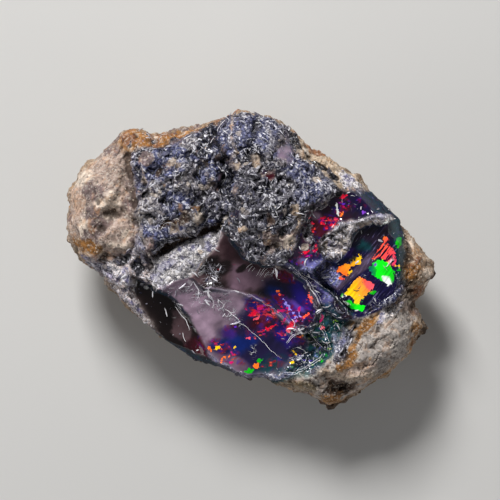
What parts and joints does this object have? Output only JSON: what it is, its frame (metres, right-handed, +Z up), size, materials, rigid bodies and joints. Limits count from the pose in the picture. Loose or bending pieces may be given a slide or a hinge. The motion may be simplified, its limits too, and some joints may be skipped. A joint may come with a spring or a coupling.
{
  "type": "rough black opal",
  "caption": "Rough black opal nodule, broken open on top to show glassy potch and bright play of colour, lying on a flat underside.",
  "frame": {"origin": "centre of the bounding box at the surface the stone rests on", "axes": "+X along the stone towards the bright facet, +Y across it towards the peak of the crust, +Z up out of the broken face"},
  "size_m": [0.027, 0.022, 0.012],
  "materials": {
    "opal_stone": "rough grey crust with glassy broken faces"
  },
  "bodies": {
    "root": {"opal_stone": "opal_stone"}
  },
  "joints": []
}
